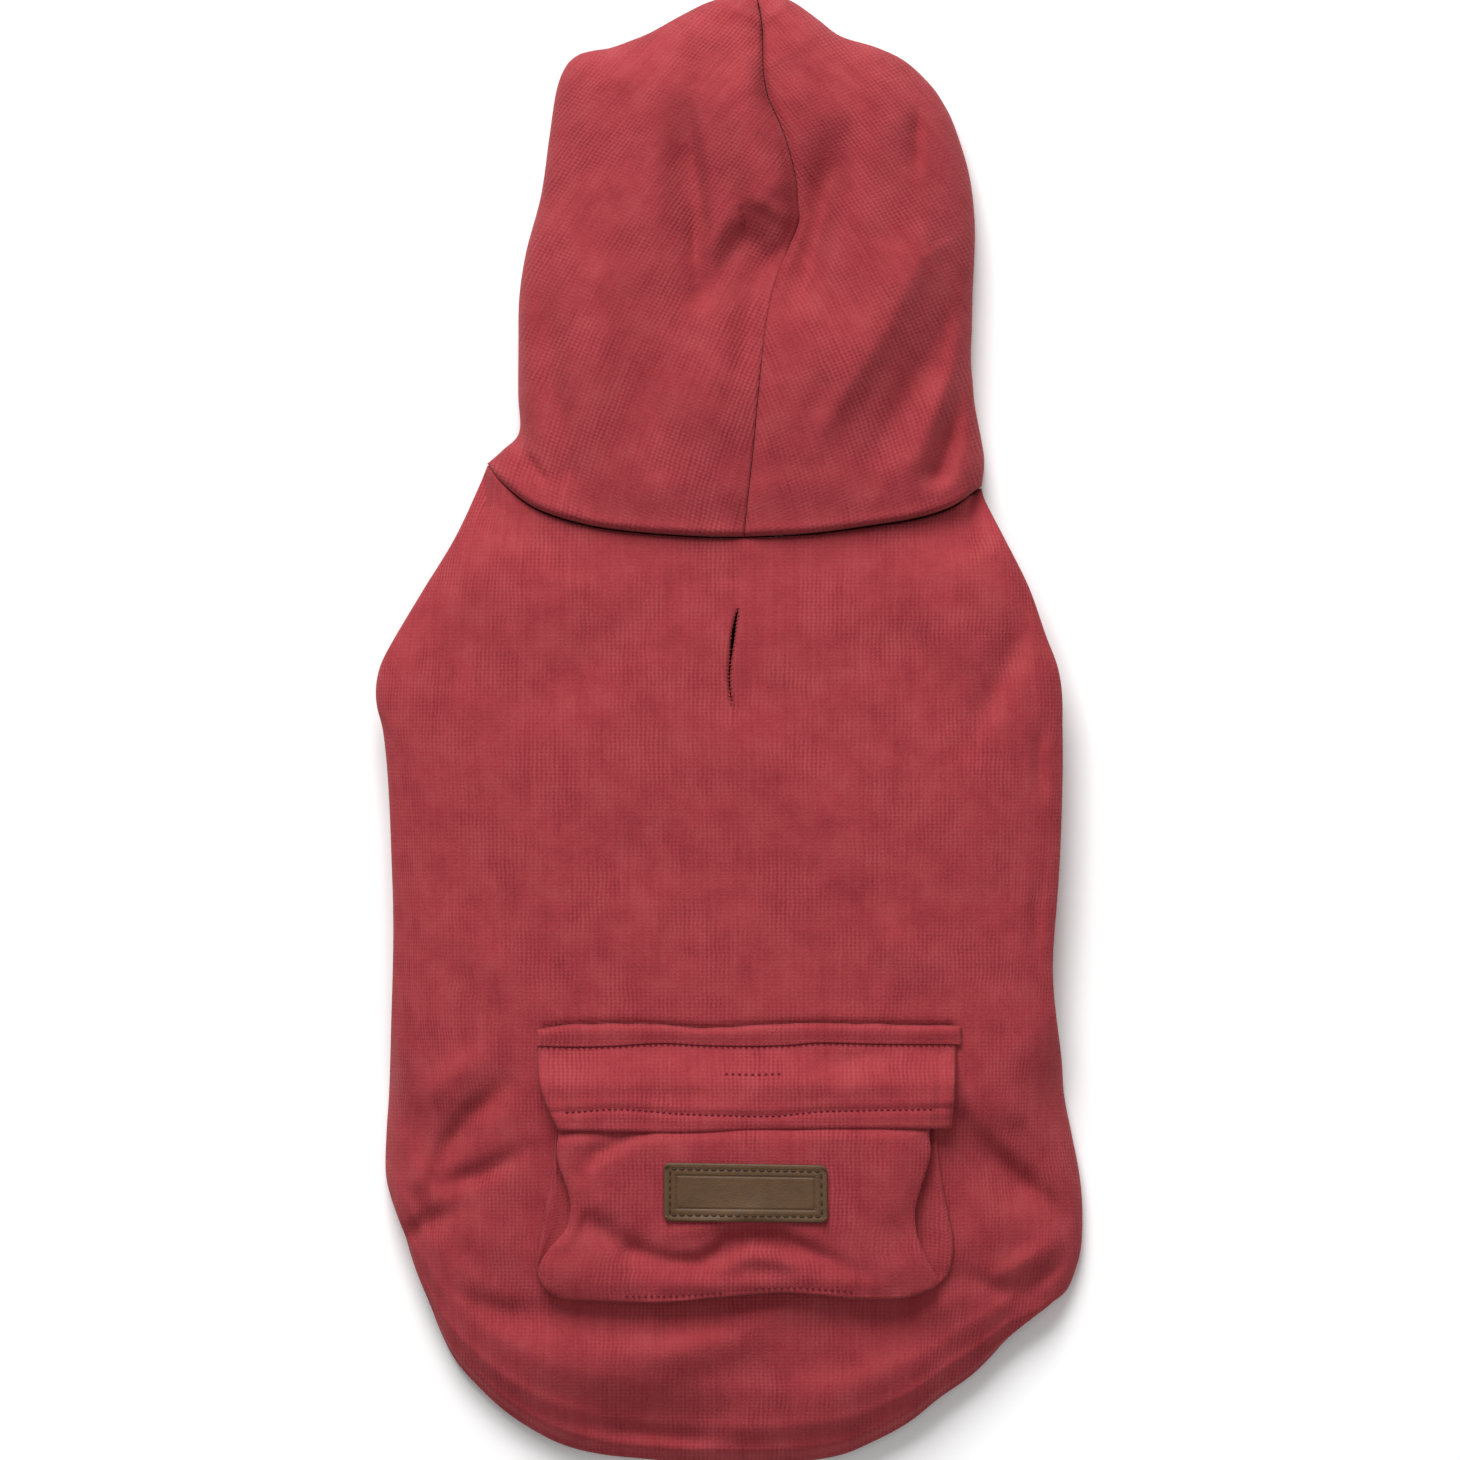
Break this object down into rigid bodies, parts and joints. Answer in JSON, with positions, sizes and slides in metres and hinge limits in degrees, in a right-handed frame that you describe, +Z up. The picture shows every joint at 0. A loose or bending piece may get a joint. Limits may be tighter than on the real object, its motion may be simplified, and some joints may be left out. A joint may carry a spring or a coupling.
{
  "type": "hooded dog coat",
  "caption": "Hooded knitted dog coat lying back up, with folded sleeves, a slit for the lead and a flapped pocket with a leather patch.",
  "frame": {"origin": "on the table, in the middle of the coat's length and width", "axes": "+Y from the tail to the hood, +Z up out of the back, +X to the right when seen from above with the hood ahead"},
  "size_m": [0.2661, 0.5554, 0.0455],
  "materials": {
    "red_knit": "matte",
    "brown_leather": "satin"
  },
  "bodies": {
    "root": {"back_panel": "red_knit", "belly_panel": "red_knit", "hood_left": "red_knit", "hood_right": "red_knit", "sleeve_left": "red_knit", "sleeve_right": "red_knit", "pocket_bag": "red_knit", "pocket_flap": "red_knit", "flap_strip": "red_knit", "leather_patch": "brown_leather"}
  },
  "joints": []
}
